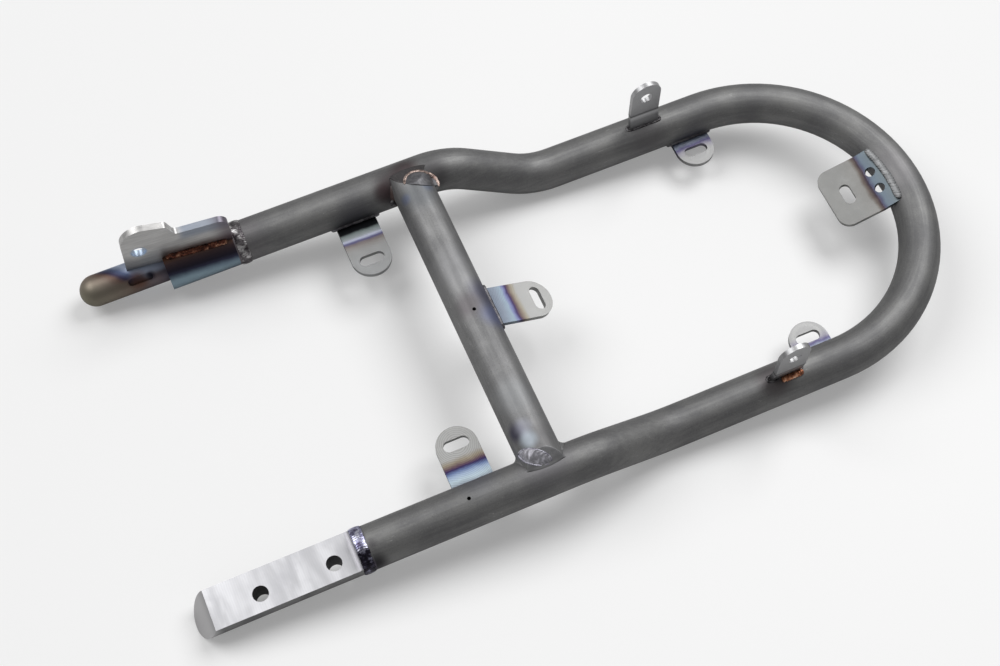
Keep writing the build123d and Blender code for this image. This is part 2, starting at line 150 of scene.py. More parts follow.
# drawn tube: matt dark grey with a fine grain, faint streaks along it, a few scratches, and tints at the welds
tubeLook = {"hoop": (tone(112, 112, 113), tone(134, 134, 133)), "cross": (tone(121, 121, 122), tone(145, 145, 145)),
            "rough": 0.56, "depth": 0.00005, "cloudScale": 34.0, "fleckScale": 1300.0,
            "streakAlong": 0.03, "streakAcross": 0.5, "contrast": (0.36, 0.64),
            "scratch": tone(188, 188, 186), "paleFleck": (0.60, 0.80), "paleAmount": 0.30,
            "fleck": tone(98, 97, 98), "darkFleck": (0.42, 0.30), "darkAmount": 0.45,
            "lineAlong": 0.010, "lineAcross": 0.16, "crest": (0.0006, 0.0022), "broken": (0.54, 0.60),
            "lineAmount": 0.5}


def tubePaint(name, along, across, spots, pair):
    paint = Paint(name, 0.85)
    grain = paint.vector(along(paint) * tubeLook["streakAlong"], across(paint) * tubeLook["streakAcross"],
                         paint.z * tubeLook["streakAcross"])
    streak = paint.noise(grain, 1.0, 5.0, 0.6)
    cloud = paint.noise(paint.place, tubeLook["cloudScale"], 4.0, 0.6)
    fleck = paint.noise(paint.place, tubeLook["fleckScale"], 3.0, 0.7)
    body = paint.between(streak * 0.3 + cloud * 0.5 + fleck * 0.2, *tubeLook["contrast"])
    colour = paint.mix(body, pair[0], pair[1])
    pale = paint.between(fleck, *tubeLook["paleFleck"]) * tubeLook["paleAmount"]
    colour = paint.mix(pale, colour, tubeLook["scratch"])
    dark = paint.between(fleck, *tubeLook["darkFleck"]) * tubeLook["darkAmount"]
    colour = paint.mix(dark, colour, tubeLook["fleck"])
    # long thin scratches: the thin crest of a stretched noise, broken up by a cloud
    line = paint.vector(along(paint) * tubeLook["lineAlong"], across(paint) * tubeLook["lineAcross"],
                        paint.z * tubeLook["lineAcross"])
    crest = paint.math("ABSOLUTE", paint.noise(line, 1.0, 2.0, 0.5) - 0.5)
    scratch = (1.0 - paint.between(crest, *tubeLook["crest"])) * paint.between(cloud, *tubeLook["broken"])
    colour = paint.mix(scratch * tubeLook["lineAmount"], colour, tubeLook["scratch"])
    for centre, reach, tint, strength in spots:
        edge = paint.near(centre, reach)
        colour = paint.mix(edge * (cloud * 0.9 + 0.5) * strength, colour, tint)
    rough = tubeLook["rough"] - body * 0.05 + fleck * 0.12
    return paint.finish(colour, rough, streak * 0.15 + fleck * 0.85, tubeLook["depth"])


# tints that heat leaves on steel, from the hot side outwards
heat = {"ash": tone(124, 126, 134), "ice": tone(180, 196, 206), "blue": tone(108, 124, 162),
        "violet": tone(62, 52, 92), "plum": tone(104, 84, 92), "straw": tone(146, 136, 120),
        "bare": tone(168, 168, 167), "soot": tone(44, 40, 44)}


def hoopAlong(paint):
    past = paint.math("MAXIMUM", paint.x - route["hoopX"], 0.0)
    turn = paint.math("ARCTAN2", past, paint.math("ABSOLUTE", paint.y))
    return paint.math("MINIMUM", paint.x, route["hoopX"]) + turn * route["rearY"]


def hoopAcross(paint):
    past = paint.math("MAXIMUM", paint.x - route["hoopX"], 0.0)
    return paint.math("SQRT", past * past + paint.y * paint.y)


# tints on the tubes, among them a painted shade and a partly painted highlight: centre, reach, colour and strength
hoopSpots = [
    ((105.8, -100.0, 13.0), 22.0, tone(124, 122, 126), 0.6),
    ((105.0, 104.0, 12.7), 13.0, tone(72, 60, 62), 0.85),
    ((94.0, 98.0, 9.0), 15.0, tone(66, 58, 60), 0.95),
    ((88.0, 96.0, 9.0), 8.0, tone(72, 58, 60), 0.7),
    ((121.0, 97.0, 8.0), 14.0, tone(78, 76, 78), 0.8),
    ((67.5, -93.0, 2.0), 20.0, tone(108, 110, 122), 0.5),
    ((67.5, 93.0, -2.0), 20.0, tone(76, 76, 84), 0.7),
    ((1.5, -106.0, 10.0), 5.0, tone(66, 62, 68), 0.6),
    ((0.5, -112.5, 3.0), 10.0, tone(42, 40, 44), 1.0),
    ((4.0, 103.8, 0.0), 19.0, tone(104, 98, 104), 0.7),
    ((256.0, -96.0, -21.0), 15.0, tone(90, 84, 86), 0.8),
    ((263.2, 88.0, -24.0), 18.0, tone(92, 90, 92), 0.6),
    ((390.0, 3.0, -22.0), 24.0, tone(150, 148, 150), 0.5),
    ((374.0, 3.0, -30.0), 18.0, tone(104, 92, 84), 0.6),
    ((293.0, -84.0, -38.0), 18.0, tone(92, 92, 104), 0.5),
    ((293.0, 84.0, -38.0), 18.0, tone(82, 82, 92), 0.6),
]
crossSpots = [
    ((105.8, -90.0, 17.0), 16.0, tone(104, 103, 104), 0.6),
    ((98.0, -80.0, 15.0), 8.0, tone(78, 76, 92), 0.9),
    # pale blue-white patches by the near joint: partly heat colour, partly a painted highlight
    ((101.5, -87.0, 18.5), 7.5, tone(180, 190, 200), 0.65),
    ((102.0, -79.0, 18.6), 7.5, tone(164, 166, 178), 0.45),
    ((104.5, -60.0, 19.0), 16.0, tone(160, 162, 164), 0.5),
    # painted shade: a small dark spot in the crevice at the far lip's edge
    ((106.0, 90.5, 19.0), 4.0, tone(66, 68, 72), 0.8),
    ((105.8, 82.0, 18.0), 15.0, tone(108, 112, 116), 0.6),
    ((98.0, 82.5, 15.0), 5.0, tone(100, 110, 138), 0.65),
    ((113.0, 86.0, 16.0), 6.0, tone(104, 114, 134), 0.6),
    ((116.0, -7.0, 13.0), 14.0, tone(106, 112, 142), 0.9),
    ((116.0, 9.0, 13.0), 14.0, tone(88, 88, 108), 0.9),
    ((104.0, 2.0, 19.0), 12.0, tone(104, 98, 102), 0.6),
    ((108.0, 26.0, 18.0), 22.0, tone(152, 152, 154), 0.5),
]


# ground plate: fine grinding marks round its slot, and bands of colour by the distance from the weld: heat colours,
# and on some plates painted shade and highlights
plateLook = {"rough": 0.40, "depth": 0.00002, "bandWobble": 2.0, "bandEnd": 26.0, "ringScale": 320.0,
             "contrast": (0.25, 0.85), "dark": tone(222, 222, 221), "pale": tone(255, 255, 255)}
bandStops = [(0.0, heat["ash"]), (0.12, tone(140, 148, 158)), (0.25, heat["ice"]), (0.37, tone(158, 174, 198)),
             (0.44, heat["blue"]), (0.51, heat["violet"]), (0.57, heat["plum"]), (0.65, heat["straw"]),
             (0.77, heat["bare"]), (1.0, heat["bare"])]
crossTabStops = [(0.0, tone(100, 107, 119)), (0.2, tone(120, 128, 140)), (0.36, tone(132, 146, 158)),
                 (0.43, tone(112, 116, 150)), (0.50, tone(66, 56, 90)), (0.56, tone(98, 84, 84)),
                 (0.66, tone(140, 133, 120)), (0.78, tone(154, 154, 153)), (1.0, tone(158, 158, 157))]
# front right tab: near black at the root, a painted shadow and painted reflection of the rail, then heat colours
shadedStops = [(0.0, tone(24, 25, 28)), (0.22, tone(30, 32, 34)), (0.28, tone(128, 138, 138)),
               (0.38, tone(158, 164, 168)), (0.44, tone(190, 194, 214)), (0.50, tone(98, 96, 134)),
               (0.56, tone(132, 123, 123)), (0.64, tone(152, 148, 146)), (0.76, tone(161, 161, 161)),
               (1.0, tone(165, 166, 167))]
rearStops = [(0.0, tone(44, 46, 54)), (0.20, tone(70, 76, 92)), (0.30, tone(124, 130, 144)),
             (0.38, tone(84, 80, 110)), (0.47, tone(128, 126, 134)), (0.60, tone(143, 143, 143)),
             (1.0, tone(147, 147, 147))]


def platePaint(name, fromRoot, centre, stops=bandStops, marks=0.5, wobble=1.0):
    # centre is the middle of the plate's hole or slot, which the grinding marks go round
    paint = Paint(name, 1.0)
    cloud = paint.noise(paint.place, 60.0, 3.0, 0.5)
    blotch = paint.noise(paint.place, 190.0, 4.0, 0.6)
    shift = tuple(-value * mm for value in centre)
    centred = paint.node("ShaderNodeMapping", {}, {"Vector": paint.place, "Location": shift})
    sockets = {"Vector": Wire(paint, centred.outputs[0]), "Scale": plateLook["ringScale"], "Distortion": 1.2,
               "Detail": 2.0, "Detail Scale": 8.0}
    rings = paint.node("ShaderNodeTexWave", {"wave_type": "RINGS", "rings_direction": "SPHERICAL"}, sockets)
    mark = Wire(paint, rings.outputs["Fac"])
    fine = paint.noise(paint.place, 1400.0, 2.0, 0.6)
    distance = fromRoot(paint) + ((cloud - 0.5) * 2.0 + (blotch - 0.5) * 0.8) * (plateLook["bandWobble"] * wobble)
    band = paint.ramp(distance / plateLook["bandEnd"], stops)
    grey = paint.between(mark * marks + fine * 0.3 + cloud * 0.2 + blotch * 0.25, *plateLook["contrast"])
    shade = paint.mix(grey, plateLook["dark"], plateLook["pale"])
    made = paint.node("ShaderNodeMix", {"data_type": "RGBA", "blend_type": "MULTIPLY"}, {0: 1.0, 6: band, 7: shade})
    rough = plateLook["rough"] + grey * 0.12
    return paint.finish(Wire(paint, made.outputs[2]), rough, mark * marks + fine * 0.4, plateLook["depth"])


# distance from the weld in mm, for each kind of plate
plateRoot = {"front": 11.5, "rear": 7.5, "crossX": 118.0, "crossStretch": 1.08, "uprightDown": 20.5,
             "bracketX": 390.2}


def frontRoot(paint):
    return (route["frontY"] - plateRoot["front"]) - paint.math("ABSOLUTE", paint.y)


def rearRoot(paint):
    return (route["rearY"] - plateRoot["rear"]) - paint.math("ABSOLUTE", paint.y)


def crossRoot(paint):
    return (paint.x - plateRoot["crossX"]) * plateRoot["crossStretch"]


def uprightRoot(paint):
    return paint.z + plateRoot["uprightDown"]


def bracketRoot(paint):
    return plateRoot["bracketX"] - paint.x


# left slug: a pale milled flat with cloudy cutter sweeps across it, a turned body, and a dark end at the weld, dark
# only on its lower part
# each pair, in mm, goes from where a tint starts to where it is full
slugLook = {"flatZ": 4.2, "flatEdge": (0.02, 0.06), "tipX": (-95.0, -86.0), "runOutX": (-10.5, -10.3),
            "runOutZ": (4.1, 4.3), "wallX": (-6.0, -5.4), "darkEndX": (-6.6, -4.6), "darkEndZ": (6.0, 10.0),
            "weldShadeY": (-109.0, -105.0), "sweepAlong": 0.062, "sweepAcross": 0.016, "cutterScale": 240.0}


def slugPaint():
    paint = Paint("milledSlug", 1.0)
    cloud = paint.noise(paint.place, 42.0, 4.0, 0.6)
    swept = paint.vector(paint.x * slugLook["sweepAlong"], paint.y * slugLook["sweepAcross"],
                         paint.z * slugLook["sweepAcross"])
    sweep = paint.noise(swept, 1.0, 3.0, 0.55, 0.5)
    cutter = paint.node("ShaderNodeTexWave", {"bands_direction": "X"},
                        {"Vector": paint.place, "Scale": slugLook["cutterScale"], "Distortion": 1.2, "Detail": 2.0})
    tool = Wire(paint, cutter.outputs["Fac"])
    fine = paint.noise(paint.place, 1100.0, 2.0, 0.6)
    onFlat = 1.0 - paint.between(paint.math("ABSOLUTE", paint.z - slugLook["flatZ"]), *slugLook["flatEdge"])
    milled = paint.mix(paint.between(sweep, 0.36, 0.62), tone(183, 183, 186), tone(211, 211, 214))
    milled = paint.mix(paint.between(cloud, 0.46, 0.66) * 0.5, milled, tone(178, 178, 182))
    milled = paint.mix(tool * 0.12, milled, tone(166, 166, 170))
    turned = paint.mix(paint.between(cloud + fine * 0.2, 0.4, 0.8), tone(112, 112, 113), tone(140, 140, 140))
    turned = paint.mix(1.0 - paint.between(paint.x, *slugLook["tipX"]), turned, tone(206, 205, 206))
    # the flat's run-out is painted a duller grey, painted shade that tones down the highlight its curve catches
    runOut = paint.between(paint.x, *slugLook["runOutX"]) * paint.between(paint.z, *slugLook["runOutZ"])
    colour = paint.mix(onFlat, turned, milled)
    wall = 1.0 - paint.between(paint.x, *slugLook["wallX"])
    colour = paint.mix(runOut * wall, colour, tone(166, 165, 170))
    # darker at the weld end, below a given height
    darkEnd = paint.between(paint.x + (cloud - 0.5) * 4.0, *slugLook["darkEndX"])
    darkEnd = darkEnd * (1.0 - paint.between(paint.z, *slugLook["darkEndZ"]))
    colour = paint.mix(darkEnd * 0.8, colour, tone(66, 60, 74))
    return paint.finish(colour, 0.44 + fine * 0.10, tool * 0.5 + fine * 0.5, 0.000010)


# right pin: a dull olive nose, a blue-violet patch on top behind it, then brown below and blue-white above, the
# blue-white partly heat colour and partly a painted reflection
pinLook = {"length": 100.0, "outboardY": 104.0, "lean": 1.15, "bands": 70.0, "brownBands": 60.0,
           "lowY": (99.5, 102.5), "pocket": ((-64.5, 100.5, 5.2), 8.0), "rearMark": ((-57.0, 100.9, 5.4), 4.0),
           "collarX": (-7.0, -5.0)}


def pinPaint():
    paint = Paint("tintedPin", 0.95)
    cloud = paint.noise(paint.place, 60.0, 4.0, 0.6)
    fine = paint.noise(paint.place, 1200.0, 2.0, 0.6)
    # lag: how far the colour bands lean back towards the outboard side and the top
    lag = (paint.y - pinLook["outboardY"]) * pinLook["lean"] + (cloud - 0.5) * 7.0
    along = (paint.x + pinLook["length"] + lag) / pinLook["bands"]
    # the pale blue-white stops are partly a painted reflection on the pin's top
    stops = [(0.0, tone(134, 130, 114)), (0.14, tone(142, 134, 122)), (0.26, tone(132, 120, 110)),
             (0.33, tone(112, 92, 84)), (0.38, tone(66, 60, 80)), (0.44, tone(84, 94, 122)),
             (0.52, tone(160, 170, 190)), (0.66, tone(146, 154, 172)), (0.80, tone(112, 114, 132)),
             (1.0, tone(92, 90, 108))]
    colour = paint.ramp(along, stops)
    low = 1.0 - paint.between(paint.y + (cloud - 0.5) * 3.0, *pinLook["lowY"])
    brown = paint.ramp((paint.x + pinLook["length"] + (cloud - 0.5) * 10.0) / pinLook["brownBands"],
                       [(0.0, tone(132, 128, 114)), (0.3, tone(130, 122, 110)), (0.55, tone(118, 104, 96)),
                        (0.78, tone(94, 76, 74)), (0.9, tone(66, 58, 72)), (1.0, tone(56, 50, 64))])
    colour = paint.mix(low * 0.85, colour, brown)
    pocket = paint.near(*pinLook["pocket"])
    colour = paint.mix(pocket * 0.75, colour, tone(104, 72, 58))
    rearMark = paint.near(*pinLook["rearMark"])
    colour = paint.mix(rearMark * 0.9, colour, tone(38, 34, 52))
    collar = paint.between(paint.x, *pinLook["collarX"])
    colour = paint.mix(collar, colour, tone(118, 112, 116))
    return paint.finish(colour, 0.48 + fine * 0.14, fine, 0.00002)


# sleeve: brown at the tab's weld, then near black, then steel blue on its inboard side
saddleLook = {"inboardY": 90.0, "bands": 14.0, "middleX": 26.0, "lean": 0.035}


def saddlePaint():
    paint = Paint("bluedSleeve", 0.95)
    cloud = paint.noise(paint.place, 70.0, 4.0, 0.6)
    fine = paint.noise(paint.place, 1200.0, 2.0, 0.6)
    across = paint.y - saddleLook["inboardY"] + (cloud - 0.5) * 1.6
    across = (across + (paint.x + saddleLook["middleX"]) * saddleLook["lean"]) / saddleLook["bands"]
    stops = [(0.0, tone(130, 150, 162)), (0.10, tone(133, 153, 165)), (0.18, tone(104, 120, 135)),
             (0.25, tone(64, 66, 86)), (0.34, tone(50, 47, 60)), (0.62, tone(74, 60, 62)),
             (0.78, tone(100, 76, 66)), (0.86, tone(120, 84, 66)), (1.0, tone(96, 72, 62))]
    colour = paint.ramp(across, stops)
    return paint.finish(colour, 0.36 + fine * 0.16, fine, 0.00002)


# tall tab: grey-green plate, streaked along its length, brown at its foot and violet at its rear end
tallTabLook = {"darkZ": (17.0, 27.0), "darkX": (-46.0, -40.0), "warmZ": (15.0, 24.0), "warmX": (-52.0, -40.0),
               "blueX": (-36.0, -30.0), "blueZ": (24.0, 31.0), "rearX": (-18.0, -6.0),
               "hole": (-58.35, 0.0, 26.2), "rim": (4.1, 5.6)}


def mountTabPaint():
    paint = Paint("tallTabSteel", 1.0)
    cloud = paint.noise(paint.place, 45.0, 4.0, 0.55)
    brush = paint.noise(paint.vector(paint.x * 0.035, paint.y * 0.5, paint.z * 0.7), 1.0, 5.0, 0.6)
    fine = paint.noise(paint.place, 1200.0, 2.0, 0.6)
    streaks = paint.between(brush * 0.6 + cloud * 0.4, 0.30, 0.68)
    colour = paint.mix(streaks, tone(180, 179, 178), tone(211, 210, 209))
    dark = 1.0 - paint.between(paint.z + (cloud - 0.5) * 10.0, *tallTabLook["darkZ"])
    dark = dark * 0.45 * (1.0 - paint.between(paint.x, *tallTabLook["darkX"]))
    colour = paint.mix(dark, colour, tone(84, 92, 104))
    warm = 1.0 - paint.between(paint.z + (cloud - 0.5) * 6.0, *tallTabLook["warmZ"])
    colour = paint.mix(warm * 0.8 * paint.between(paint.x, *tallTabLook["warmX"]), colour, tone(92, 66, 60))
    blue = paint.between(paint.x + (cloud - 0.5) * 10.0, *tallTabLook["blueX"])
    blue = blue * paint.between(paint.z, *tallTabLook["blueZ"])
    colour = paint.mix(blue * 0.6, colour, tone(112, 128, 152))
    rear = paint.between(paint.x + (cloud - 0.5) * 8.0, *tallTabLook["rearX"])
    colour = paint.mix(rear * 0.7, colour, tone(102, 88, 98))
    ring = paint.node("ShaderNodeVectorMath", {"operation": "DISTANCE"},
                      {0: paint.vector(paint.x, 0.0, paint.z), 1: tallTabLook["hole"]})
    rim = 1.0 - paint.between(Wire(paint, ring.outputs["Value"]), *tallTabLook["rim"])
    colour = paint.mix(rim * 0.6, colour, tone(150, 176, 206))
    return paint.finish(colour, 0.36 + brush * 0.14, brush * 0.7 + fine * 0.3, 0.00003)


# hoop bracket: teal-grey flange, a violet and brown line at the fold, bare shelf
bracketStops = [(0.0, tone(156, 162, 166)), (0.07, tone(128, 137, 143)), (0.20, tone(116, 126, 132)),
                (0.40, tone(104, 115, 127)), (0.48, tone(80, 82, 102)), (0.53, tone(86, 75, 84)),
                (0.60, tone(124, 114, 108)), (0.68, tone(166, 165, 163)), (1.0, tone(170, 170, 169))]
# upright tabs: greys by height, painted shade on the low part by the foot, and a pale and a dark line where the
# plate is kinked, a painted highlight and painted shade
uprightStops = [(0.0, tone(126, 126, 128)), (0.28, tone(146, 146, 148)), (0.40, tone(200, 200, 202)),
                (0.46, tone(92, 92, 94)), (0.52, tone(184, 184, 186)), (1.0, tone(194, 194, 196))]


weldLook = {"cloudScale": 260.0, "fineScale": 1500.0, "contrast": (0.28, 0.72), "speck": (0.56, 0.66),
            "depth": 0.00018}


def weldPaint(name, stops, rough, speck):
    paint = Paint(name, 0.95)
    cloud = paint.noise(paint.place, weldLook["cloudScale"], 4.0, 0.6, 0.4)
    fine = paint.noise(paint.place, weldLook["fineScale"], 3.0, 0.65)
    tones = [(place, tone(*values)) for place, values in stops.items()]
    colour = paint.ramp(paint.between(cloud, *weldLook["contrast"]), tones)
    colour = paint.mix(paint.between(fine, *weldLook["speck"]) * speck, colour, heat["soot"])
    return paint.finish(colour, rough + fine * 0.2, cloud * 0.5 + fine * 0.5, weldLook["depth"])


# left slug's weld: violet-white ripples painted pale on top, a painted highlight, and near black towards its
# outboard side, painted shade
def slugWeldPaint():
    paint = Paint("slugWeld", 0.95)
    cloud = paint.noise(paint.place, 300.0, 4.0, 0.6, 0.4)
    fine = paint.noise(paint.place, 1500.0, 3.0, 0.65)
    bright = paint.ramp(paint.between(cloud, 0.3, 0.66), [(0.0, tone(88, 80, 104)), (0.5, tone(150, 150, 182)),
                                                          (1.0, tone(236, 236, 250))])
    dark = paint.ramp(paint.between(cloud, 0.34, 0.70), [(0.0, tone(26, 24, 30)), (0.6, tone(54, 50, 64)),
                                                         (1.0, tone(150, 150, 170))])
    # painted shade towards the outboard side, painted highlight on top
    shade = paint.between(paint.y + (cloud - 0.5) * 5.0, *slugLook["weldShadeY"])
    colour = paint.mix(shade, dark, bright)
    colour = paint.mix(paint.between(fine, 0.60, 0.68) * 0.4, colour, heat["soot"])
    return paint.finish(colour, 0.26 + fine * 0.15, cloud * 0.5 + fine * 0.5, 0.00016)


def jointPaint(name, spots, pair):
    # the cross tube's steel, for the tube and the smooth pieces of its joints
    return tubePaint(name, lambda paint: paint.y, lambda paint: paint.x, spots, pair)


print("materials")
# weld metals: colours from the darkest ripples to the palest, roughness, and how much dark specks show
weldLooks = {
    "bronzeWeld": ({0.0: (48, 32, 30), 0.4: (112, 66, 52), 0.7: (148, 100, 80), 1.0: (196, 158, 132)},
                   0.34, 0.8),
    "copperWeld": ({0.0: (96, 62, 52), 0.4: (184, 120, 88), 0.7: (224, 166, 132), 1.0: (246, 212, 186)},
                   0.36, 0.35),
    "silverWeld": ({0.0: (58, 54, 58), 0.5: (118, 114, 116), 1.0: (204, 202, 202)}, 0.32, 0.8),
    "darkWeld": ({0.0: (40, 38, 40), 0.5: (76, 74, 76), 1.0: (128, 126, 128)}, 0.4, 0.5),
    "greyWeld": ({0.0: (84, 82, 86), 0.5: (112, 110, 114), 1.0: (146, 145, 149)}, 0.42, 0.3),
    "paleWeld": ({0.0: (130, 131, 132), 0.5: (142, 143, 144), 1.0: (160, 161, 162)}, 0.50, 0.05),
    "pinkWeld": ({0.0: (146, 116, 108), 0.5: (204, 174, 166), 1.0: (248, 232, 226)}, 0.36, 0.2),
    "puddleNear": ({0.0: (150, 149, 155), 0.5: (182, 181, 188), 1.0: (222, 221, 230)}, 0.45, 0.15),
    "rimNear": ({0.0: (120, 116, 128), 0.5: (168, 166, 178), 1.0: (226, 226, 236)}, 0.36, 0.25),
    "puddleFar": ({0.0: (102, 102, 105), 0.5: (114, 114, 117), 1.0: (130, 129, 132)}, 0.46, 0.1),
    "rimFar": ({0.0: (104, 92, 88), 0.5: (160, 142, 134), 1.0: (222, 200, 190)}, 0.34, 0.4),
}
welds = {name: weldPaint(name, *look) for name, look in weldLooks.items()}
filletSteel = jointPaint("filletSteel", [
    ((93.0, 92.0, 5.0), 14.0, tone(84, 66, 62), 0.9), ((105.0, 92.0, 14.0), 14.0, tone(100, 92, 92), 0.8),
    ((105.0, -92.0, 14.0), 14.0, tone(128, 126, 132), 0.7)], tubeLook["cross"])
# the near cap is darker along its foot
footSpots = [((x, -104.3, 12.6), reach, tone(118, 118, 119), 1.0)
             for x, reach in ((97.5, 6.5), (103.0, 6.0), (108.5, 6.0), (114.0, 6.5))]
# the near cap's tones are paler than the tube's, a painted highlight that evens out the shade on its slope
capNear = jointPaint("capNear", footSpots, (tone(134, 134, 136), tone(158, 158, 160)))
capFar = jointPaint("capFar", [], (tone(72, 70, 71), tone(92, 89, 90)))

paints = {
    "hoop_tube": tubePaint("hoopTubeSteel", hoopAlong, hoopAcross, hoopSpots, tubeLook["hoop"]),
    "cross_tube": jointPaint("crossTubeSteel", crossSpots, tubeLook["cross"]),
    "left_mount_slug": slugPaint(),
    "right_mount_slug": pinPaint(),
    "right_saddle": saddlePaint(),
    "right_mount_tab": mountTabPaint(),
    "front_left_tab": platePaint("frontLeftTabSteel", frontRoot, (67.5, -64.9, 0)),
    "front_right_tab": platePaint("frontRightTabSteel", frontRoot, (67.5, 64.9, 0), shadedStops, 0.25, 0.5),
    "cross_tab": platePaint("crossTabSteel", crossRoot, (146.6, 0, 0), crossTabStops, 0.5, 1.4),
    "rear_left_tab": platePaint("rearLeftTabSteel", rearRoot, (294.2, -73.5, 0), rearStops, 0.5, 1.6),
    "rear_right_tab": platePaint("rearRightTabSteel", rearRoot, (292.0, 73.5, 0), rearStops, 0.5, 1.6),
    "left_upright_tab": platePaint("leftUprightSteel", uprightRoot, (263.2, -97.1, 7.0), uprightStops, 0.2, 0.1),
    "right_upright_tab": platePaint("rightUprightSteel", uprightRoot, (263.2, 97.1, 7.0), uprightStops, 0.2, 0.1),
    "hoop_bracket": platePaint("hoopBracketSteel", bracketRoot, (362.3, 2.8, 0), bracketStops, 0.0),
}
for name, paint in paints.items():
    nodes[name].data.materials.clear()
    nodes[name].data.materials.append(paint)


# weld beads: a round or flattened bead carried along a path, swollen into overlapping ripples
beadLook = {"around": 20, "step": 0.28, "ripple": 0.16, "lean": 0.42, "lump": 0.10, "lumpWaves": (0.55, 0.93, 1.61),
            "taper": 14}
# one seed for each kind of bead, so that their lumps differ
seeds = {"tab": 0, "crossTab": 11, "foot": 20, "run": 24, "ring": 30, "tallTab": 41, "bracket": 51, "rim": 60,
         "spot": 71}
tubeR = route["tubeR"]


def unit(rows):
    return rows / np.maximum(np.linalg.norm(rows, axis=1, keepdims=True), 1e-9)


def beadGrid(path, outward, radiusOut, radiusSide, pitch, closed, seed):
    # a point of the bead is path + out*cos(a)*radiusOut*s + side*sin(a)*radiusSide*s, where a goes round the bead,
    # s = 1 - ripple + ripple*|sin(pi*(length/pitch + lean*cos a))|, with a slow lump and a taper at open ends
    path = np.asarray(path, float)
    tangent = unit(np.roll(path, -1, 0) - np.roll(path, 1, 0) if closed else np.gradient(path, axis=0))
    outward = np.broadcast_to(np.asarray(outward, float), path.shape)
    side = unit(np.cross(tangent, outward))
    out = np.cross(side, tangent)
    steps = np.linalg.norm(np.diff(path, axis=0), axis=1)
    length = np.concatenate([[0.0], np.cumsum(steps)])
    angle = np.linspace(0, 2 * np.pi, beadLook["around"], endpoint=False)
    starts = np.random.default_rng(seed).uniform(0, 2 * np.pi, 3)
    lump = sum(np.sin(length * wave + start) for wave, start in zip(beadLook["lumpWaves"], starts)) / 3
    phase = length[:, None] / pitch + beadLook["lean"] * np.cos(angle)[None, :]
    swell = 1 - beadLook["ripple"] + beadLook["ripple"] * np.abs(np.sin(np.pi * phase))
    swell = swell * (1 + beadLook["lump"] * lump)[:, None]
    if not closed:
        ends = np.clip(1 - np.abs(2 * length / length[-1] - 1) ** beadLook["taper"], 0.0, 1)
        swell = swell * np.sqrt(ends)[:, None]
    swell = np.minimum(swell, 1.0)[:, :, None]
    upwards = out[:, None, :] * np.cos(angle)[None, :, None] * radiusOut
    sideways = side[:, None, :] * np.sin(angle)[None, :, None] * radiusSide
    return path[:, None, :] + (upwards + sideways) * swell


def gridFaces(rows, columns, closed):
    # quads between neighbouring rows and columns; columns close round, rows too where closed is set
    row = np.arange(rows if closed else rows - 1)[:, None]
    column = np.arange(columns)[None, :]
    nextRow, nextColumn = (row + 1) % rows, (column + 1) % columns
    corners = [row * columns + column, row * columns + nextColumn, nextRow * columns + nextColumn,
               nextRow * columns + column]
    return np.stack(corners, axis=-1).reshape(-1, 4)


def makePiece(name, grid, closed, paint, node):
    # makes a grid of points in mm one smooth mesh in metres, which stands for a CAD node
    faces = gridFaces(*grid.shape[:2], closed)
    mesh = bpy.data.meshes.new(name)
    mesh.from_pydata((grid.reshape(-1, 3) * mm).tolist(), [], faces.tolist())
    mesh.update()
    mesh.shade_smooth()
    mesh.materials.append(paint)
    piece = bpy.data.objects.new(name, mesh)
    bpy.context.scene.collection.objects.link(piece)
    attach(piece, "root")
    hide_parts(node)


def samples(length, closed):
    # 0 to 1 in steps of a bead's step
    count = max(int(length / beadLook["step"]), 8)
    return np.linspace(0, 1, count, endpoint=not closed)


def fullTurn():
    # angles round the tube
    return samples(2 * np.pi * tubeR, True) * 2 * np.pi


def loopPath(centre, along, across, halfLength, halfWidth):
    # a closed track: two straight runs joined by half circles, in the plane of along and across
    along, across = np.asarray(along, float), np.asarray(across, float)
    straight, curve = 2 * halfLength, np.pi * halfWidth
    total = 2 * (straight + curve)
    s = samples(total, True) * total
    u, v = np.empty_like(s), np.empty_like(s)
    first, second = s < straight, (s >= straight) & (s < straight + curve)
    third = (s >= straight + curve) & (s < 2 * straight + curve)
    fourth = s >= 2 * straight + curve
    u[first], v[first] = s[first] - halfLength, -halfWidth
    turn = (s[second] - straight) / halfWidth - np.pi / 2
    u[second], v[second] = halfLength + halfWidth * np.cos(turn), halfWidth * np.sin(turn)
    u[third], v[third] = halfLength - (s[third] - straight - curve), halfWidth
    turn = (s[fourth] - 2 * straight - curve) / halfWidth + np.pi / 2
    u[fourth], v[fourth] = -halfLength + halfWidth * np.cos(turn), halfWidth * np.sin(turn)
    return np.asarray(centre, float) + u[:, None] * along + v[:, None] * across


# beads round the roots of the slotted tabs
tabBead = {"radius": 1.5, "pitch": 1.4, "tabHalf": 12.4, "plate": 3.0}


def tabLoop(upper, lower, along):
    # closed path round a tab's root, between the lines where its two faces meet the tube
    gap = np.linalg.norm(upper - lower)
    return loopPath((upper + lower) / 2, along, (upper - lower) / gap, tabBead["tabHalf"], gap / 2)


